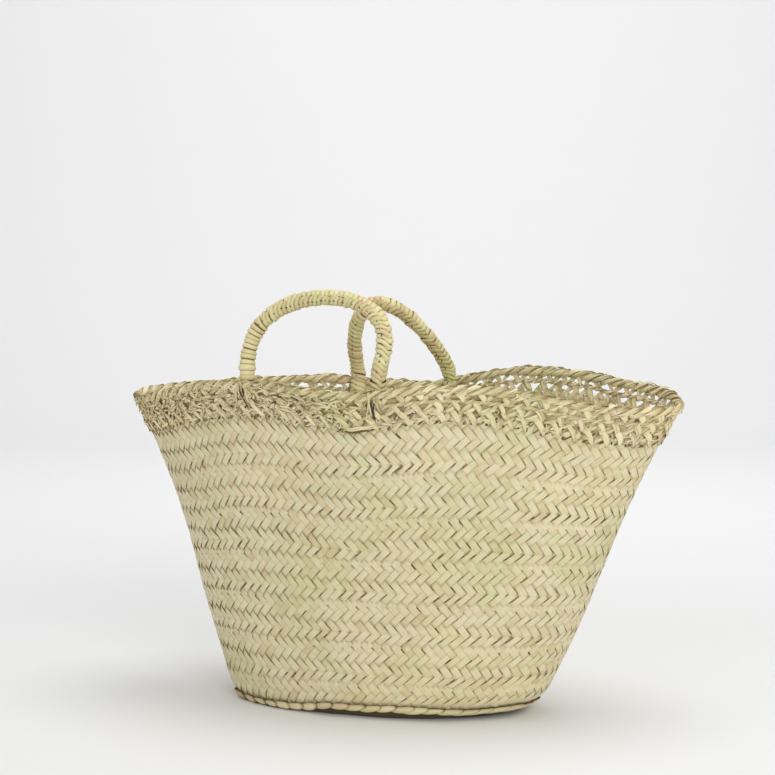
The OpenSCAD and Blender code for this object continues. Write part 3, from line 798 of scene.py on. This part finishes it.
def wrapped_handle(spec, name, material, seed):
    """Leaf wound round the rope turn by turn, each turn looped over the last along a ridge."""
    rng = np.random.default_rng(seed)
    tube = Tube(handle_line(spec), (0, 1, 0))
    pitch = 4.5
    count = int((tube.total - 10) / pitch)
    stations = 42
    around = np.linspace(-1, 1, stations)[None, :]
    n = np.arange(count)[:, None]
    place = 5 + (n + 0.5) * pitch
    # looped turns carry the ridge; plain turns lie flat and broad
    looped = np.clip((place - spec["smooth"]) / 6, 0, 1)
    ridge = 0.77 + 0.04 * np.sin(place / 31)
    along = ridge + 0.5 + around * 0.575 + rng.normal(0, 0.008, (count, 1))
    slant = 4.2 * looped + 0.8
    lock = np.clip((np.abs(around) - 0.76) / 0.24, 0, 1) * looped
    rise = place + slant * (np.abs(around) ** 1.1 - 0.5) + rng.normal(0, 0.3, (count, 1))
    rise = rise + lock * 2.6 * np.sign(around)
    out = ROPE_R - 0.55 + rng.normal(0, 0.34, (count, 1))
    out = out + lock * np.where(around < 0, -0.5, 0.9)
    wide = pitch * rng.uniform(0.44, 0.56, (count, 1)) * (1 - 0.34 * lock)
    wide = wide * (1 + 0.05 * np.sin(around * 4 + rng.uniform(0, TURN, (count, 1))))
    circle = TURN * ROPE_R
    slope = slant * 1.1 * np.abs(around) ** 0.1 * np.sign(around) * 2 / (circle * 1.15)
    norm = np.sqrt(1 + slope ** 2)
    # painted shade on the end of a turn that loops under at the ridge, and over every inner face
    deep = np.clip(lock * np.where(around < 0, 1.0, 0.05), 0, 1)
    # a few turns in a row come from one leaf, so they share its tone
    leaf_of_turn = np.cumsum(rng.uniform(0, 1, count) < 0.3) * 1.37 + seed
    bands = Bands()
    bands.add(tube, (along, rise, out), (-slope / norm * wide / circle, wide / norm),
              leaf_of_turn, crown=0.95, thick=0.8, step=circle * 1.15 / stations, start=n * 200.0 + 20.0,
              tilt=-0.25 + rng.normal(0, 0.2, (count, 1)) + 0 * out, deep=(deep, 1.0), edge=0.24)
    # near-black strips of painted shade beside the ridge, which stand in for the holes where two turns part
    y = np.linspace(-1, 1, 7)[None, :]
    for turn in (-0.055, 0.06):
        gap = ridge + turn + rng.normal(0, 0.008, (count, 1)) + 0 * y
        shown = looped * rng.uniform(0.1, 1.0, (count, 1))
        middle = place + pitch / 2 + 2.0 * np.sign(turn) + rng.normal(0, 0.3, (count, 1))
        wide = 0.02 + 0.95 * shown * (1 - np.abs(y) ** 2)
        height = middle + 0.9 * y * shown * np.sign(turn)
        bands.add(tube, (gap + 0.018 * y * shown, height, ROPE_R + 0.75 + 0 * gap),
                  (0 * gap, wide), leaf_of_turn, crown=0.05, thick=0.3, step=1.0, deep=(1.0, 1.0))
    return bands.build(name, material)


def handle_core(spec, name, material, seed):
    """The rope inside a handle: three twisted strands, closed at both ends."""
    bands = Bands()
    tube = Tube(handle_line(spec), (0, 1, 0))
    stations = 220
    up = np.linspace(1.0, tube.total - 1.0, stations)[None, :]
    sectors = 12
    for k in range(sectors):
        along = np.full_like(up, k / sectors) + up / 60.0
        radius = CORE_R + 0.35 * np.cos(3 * TURN * k / sectors)
        half = (np.full_like(up, 0.56 / sectors), np.zeros_like(up))
        bands.add(tube, (along, up, radius + 0 * up), half, [seed + k // 4], crown=0.1,
                  thick=CORE_R - 0.4, step=1.5)
    return bands.build(name, material)


def lashing(sheet, x, side, name, material, seed, stitched):
    """Leaf tails that hold a rope end: they leave it under the top braid and spread."""
    rng = np.random.default_rng(seed)
    bands = Bands()
    total = sheet.length(WALL_H + RIM_H)
    place = share_at(sheet, x, side)
    y = np.linspace(0, 1, 18)[None, :]
    tails = 6
    spread = np.linspace(-1, 1, tails)[:, None]
    spread = spread + 0.16 * np.sign(spread) + rng.normal(0, 0.14, (tails, 1))
    top = WALL_H + RIM_H - rng.uniform(0, 6, (tails, 1))
    bottom = WALL_H + rng.uniform(3, 17, (tails, 1))
    along = place + (spread * mix(3.4, 8.0, y ** 0.8) + 1.4 * np.sin(4 * y + 9 * spread)) / total
    rise = mix(top, bottom, y)
    out = 2.7 + 0.5 * np.sin(math.pi * y) + rng.uniform(0, 0.9, (tails, 1))
    out = out - 2.4 * np.clip((0.14 - y) / 0.14, 0, 1) - 1.4 * np.clip((y - 0.8) / 0.2, 0, 1)
    wide = rng.uniform(0.6, 1.4, (tails, 1)) * (1 - 0.75 * np.clip((y - 0.6) / 0.4, 0, 1))
    run = spread * 4.6 / RIM_H
    norm = np.sqrt(1 + run ** 2)
    # the tails carry painted shade, most where they leave the braid, and on their inner face
    bands.add(sheet, (along, rise, out), (wide / norm / total, wide * run / norm + 0 * y),
              rng.uniform(0, 100, tails), crown=0.6, thick=0.45, step=2.0,
              tilt=rng.normal(0, 0.3, (tails, 1)) + 0 * out,
              deep=(rng.uniform(0.05, 0.5, (tails, 1)) * (1 - 0.5 * y), 0.5), edge=0.2)
    # near-black strips of painted shade in the slit between the tails, where the rope end lies in shade
    for start, lean, low, half in ((-2.0, 5.5, 5.0, 1.1), (2.2, -1.5, 13.0, 0.7)):
        slit = (place + (start + lean * y) / total, WALL_H + mix(RIM_H - 7.0, low, y), 3.9 + 0 * y)
        bands.add(sheet, slit, (half * np.sin(math.pi * y ** 0.7) / total + 1e-6, 0 * y), [50.0], crown=0.05,
                  thick=0.4, step=2.0, deep=(1.0, 1.0))
    if stitched:
        t = (y - 0.5) * 2
        # the lowest of the three stitched rows is darkened with painted shade
        for row in range(3):
            height = WALL_H - 1.6 + 1.7 * row + 0.8 * t + 0.3 * np.sin(5 * t + row)
            centre = (place + (t * 15.0 - 12.0) / total, height, 3.2 - 1.9 * np.abs(t) ** 4)
            bands.add(sheet, centre, (0 * t, 1.0 * (1 - 0.6 * np.abs(t) ** 3)), rng.uniform(0, 100, 1),
                      crown=0.5, thick=0.5, step=2.0, deep=(0.9 if row == 0 else 0.0, 0.6), edge=0.25)
    return bands.build(name, material)


def share_at(sheet, x, side):
    """Share of the way round the rim at which the rim passes x on one side."""
    share = np.linspace(0, 1, 2001)
    line = sheet(share, np.full_like(share, WALL_H + RIM_H - 4), np.zeros_like(share)) / MM
    miss = np.where(line[:, 1] * side > 0, np.abs(line[:, 0] - x), 1e9)
    return float(share[np.argmin(miss)])


# ---------------------------------------------------------------- the room

def pale_floor():
    """A floor that curves up into a backdrop, far behind."""
    near, far, wide, up, bend = -3.0, 2.6, 6.0, 4.0, 1.2
    profile = [(near, 0.0), (far, 0.0)]
    for k in range(1, 13):
        a = math.pi / 2 * k / 12
        profile.append((far + bend * math.sin(a), bend * (1 - math.cos(a))))
    profile.append((far + bend, up))
    turn = CAMERA_TURN
    verts, faces = [], []
    for y, z in profile:
        for x in (-wide, wide):
            verts.append((x * math.cos(turn) - y * math.sin(turn),
                          x * math.sin(turn) + y * math.cos(turn), z))
    for k in range(len(profile) - 1):
        faces.append((2 * k, 2 * k + 1, 2 * k + 3, 2 * k + 2))
    mesh = bpy.data.meshes.new("floor")
    mesh.from_pydata(verts, [], faces)
    for polygon in mesh.polygons:
        polygon.use_smooth = True
    material = bpy.data.materials.new("pale_floor")
    material.use_nodes = True
    shader = material.node_tree.nodes["Principled BSDF"]
    shader.inputs["Base Color"].default_value = (0.86, 0.86, 0.855, 1)
    shader.inputs["Roughness"].default_value = 0.9
    shader.inputs["Specular IOR Level"].default_value = 0.1
    mesh.materials.append(material)
    floor = bpy.data.objects.new("floor", mesh)
    bpy.context.scene.collection.objects.link(floor)


def soft_lights():
    """An even room, a soft lamp overhead and a low soft key from the right."""
    for name, place, target, size, power in (
            ("key", (1.5, -2.2, 1.1), (0, 0, 0.15), 1.3, 24.0),
            ("top", (0.35, 0.1, 2.6), (0.1, 0, 0.0), 1.6, 22.0),
            ("backdrop", (-0.2, 1.0, 2.6), (-0.9, 3.9, 1.9), 2.4, 33.0)):
        lamp = bpy.data.lights.new(name, "AREA")
        lamp.shape = "DISK"
        lamp.size = size
        lamp.energy = power
        holder = bpy.data.objects.new(name, lamp)
        holder.location = place
        aim = Vector(target) - Vector(place)
        holder.rotation_euler = aim.to_track_quat("-Z", "Y").to_euler()
        holder.visible_camera = False
        bpy.context.scene.collection.objects.link(holder)
    world = bpy.data.worlds.new("room")
    world.use_nodes = True
    world.node_tree.nodes["Background"].inputs["Color"].default_value = (0.985, 0.99, 1.0, 1)
    world.node_tree.nodes["Background"].inputs["Strength"].default_value = 0.62
    bpy.context.scene.world = world


def place_camera():
    camera = bpy.data.cameras.new("camera")
    camera.sensor_width = 36.0
    camera.lens = CAMERA_LENS
    camera.clip_end = 20.0
    holder = bpy.data.objects.new("camera", camera)
    holder.location = (CAMERA_DISTANCE * math.sin(CAMERA_TURN) + CAMERA_SIDE,
                       -CAMERA_DISTANCE * math.cos(CAMERA_TURN), CAMERA_HEIGHT)
    holder.rotation_euler = (math.pi / 2 - CAMERA_PITCH, 0, CAMERA_TURN)
    bpy.context.scene.collection.objects.link(holder)
    bpy.context.scene.camera = holder


# ---------------------------------------------------------------- putting it together

def dress(piece, slot, *nodes):
    """Hangs a root piece on the root body and hides the CAD nodes it stands for. slot, its finish, is not
    used.
    """
    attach(piece, "root")
    if nodes:
        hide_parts(*nodes)


def main():
    plait = palm_leaf("palm_plait", STRAW, cell=0.0129)
    split = palm_leaf("palm_split", SPLIT, rough=0.58, grain=1.2)
    wrap = palm_leaf("palm_wrap", WRAP, cell=0.2, rough=0.50)
    cord = hidden_fibre("palm_cord", (0.30, 0.22, 0.12))
    core = hidden_fibre("rope_core", (0.36, 0.28, 0.15))

    ups = [*np.arange(0, 24, 1.5), *np.arange(24, WALL_H, 3.6), *np.arange(WALL_H, WALL_H + RIM_H + 4, 2)]
    shell = Sheet(shell_row, ups)
    wall = Uneven(shell, 1.3, 1.2)
    rim = Uneven(shell, 1.3, 1.2)
    base = Uneven(Sheet(base_row, np.linspace(-1, FLOOR_B - PLAIT_T / 2 - 0.5, 24), out_sign=-1.0), 0.0, 0.0)

    course_h = WALL_H / COURSES
    for k in range(1, COURSES + 1):
        piece = woven_course(wall, course_h * (k - 1), course_h * k, f"woven_course_{k}", plait, 100 + k,
                             tongues=(k > 1, True), shaded=EDGE_UP - 1.5 if k == 1 else 0.0)
        dress(piece, "palm_plait", f"wall_course_{k}")
    half_base = (FLOOR_B - PLAIT_T / 2) / 2
    outer = woven_course(base, 0.5, half_base, "woven_base_outer", plait, 201, tongues=(False, False))
    dress(outer, "palm_plait", "base_outer_plait")
    centre = woven_course(base, half_base, 2 * half_base - 1.0, "woven_base_centre", plait, 202,
                          tongues=(False, False))
    dress(centre, "palm_plait", "base_centre_plait")

    for k in range(1, COURSES):
        piece = cord_ring(wall, course_h * k, 0.6, f"sewing_cord_{k}", cord)
        dress(piece, "palm_cord", f"wall_seam_cord_{k}")
    dress(cord_ring(wall, WALL_H, 0.6, "sewing_cord_rim", cord), "palm_cord", "rim_seam_cord")
    dress(cord_ring(base, half_base, 0.6, "sewing_cord_base", cord), "palm_cord", "base_seam_cord")
    dress(cord_ring(base, 2.2, 0.6, "sewing_cord_corner", cord, out=-2.3), "palm_cord", "corner_seam_cord")

    edge = Bands()
    lapped_row(edge, wall, EDGE_UP - 0.4, PLAIT_T / 2 + 1.1, 14.5, 3.2, 31)
    # a flat leaf that closes the corner between the base and the wall, lightly darkened with painted shade
    t = np.linspace(0, 1, 721)[None, :]
    edge.add(base, (t, 1.2 + 0 * t, 0 * t), (0 * t, 2.2 + 0 * t), [33], crown=0.1, thick=0.5,
             step=base.length(0.0) / 720, deep=(0.2, 0.2))
    # and one under the seam of the base's two rounds, with painted shade too
    edge.add(base, (t, half_base + 0 * t, 0.7 + 0 * t), (0 * t, 2.6 + 0 * t), [34], crown=0.1, thick=0.4,
             step=base.length(0.0) / 720, deep=(0.3, 0.4))
    dress(edge.build("base_edge_row", split), "palm_rim", "base_edge_braid")

    top = Bands()
    twist(top, rim, WALL_H + RIM_H - 4.0, 0.0, (3.9, 2.4), 36.0, 3, 41, uneven=0.6)
    dress(top.build("rim_braid", split), "palm_rim", "rim_top_braid")
    dress(rim_net(rim, "rim_openwork", split, 51), "palm_rim", "rim_net")
    dress(rim_foot(rim, "rim_foot_stitches", split, 53), "palm_rim", "rim_foot_row")
    dress(leaf_tips(rim, "rim_leaf_tips", split, 61), "palm_rim")

    for key, spec in HANDLES.items():
        middle, _, height, _ = handle_frame(spec)
        seed = 70 if key == "front" else 80
        ends = [f"{key}_left_rope_end", f"{key}_right_rope_end"]
        wrapping = wrapped_handle(spec, f"{key}_wrapped_handle", wrap, seed)
        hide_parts(f"{key}_handle_wrapping", *ends)
        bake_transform(wrapping)
        rope = handle_core(spec, f"{key}_rope", core, seed)
        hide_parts(f"{key}_handle_rope")
        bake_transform(rope)
        for hand in ("left", "right"):
            piece = lashing(rim, spec[hand], spec["side"], f"{key}_{hand}_tie", split,
                            seed + (1 if hand == "left" else 2), hand == "right")
            dress(piece, "palm_rim", f"{key}_{hand}_lashing")

    pale_floor()
    soft_lights()
    place_camera()
    bpy.context.scene.view_settings.view_transform = "Standard"


main()
bpy.context.view_layer.update()
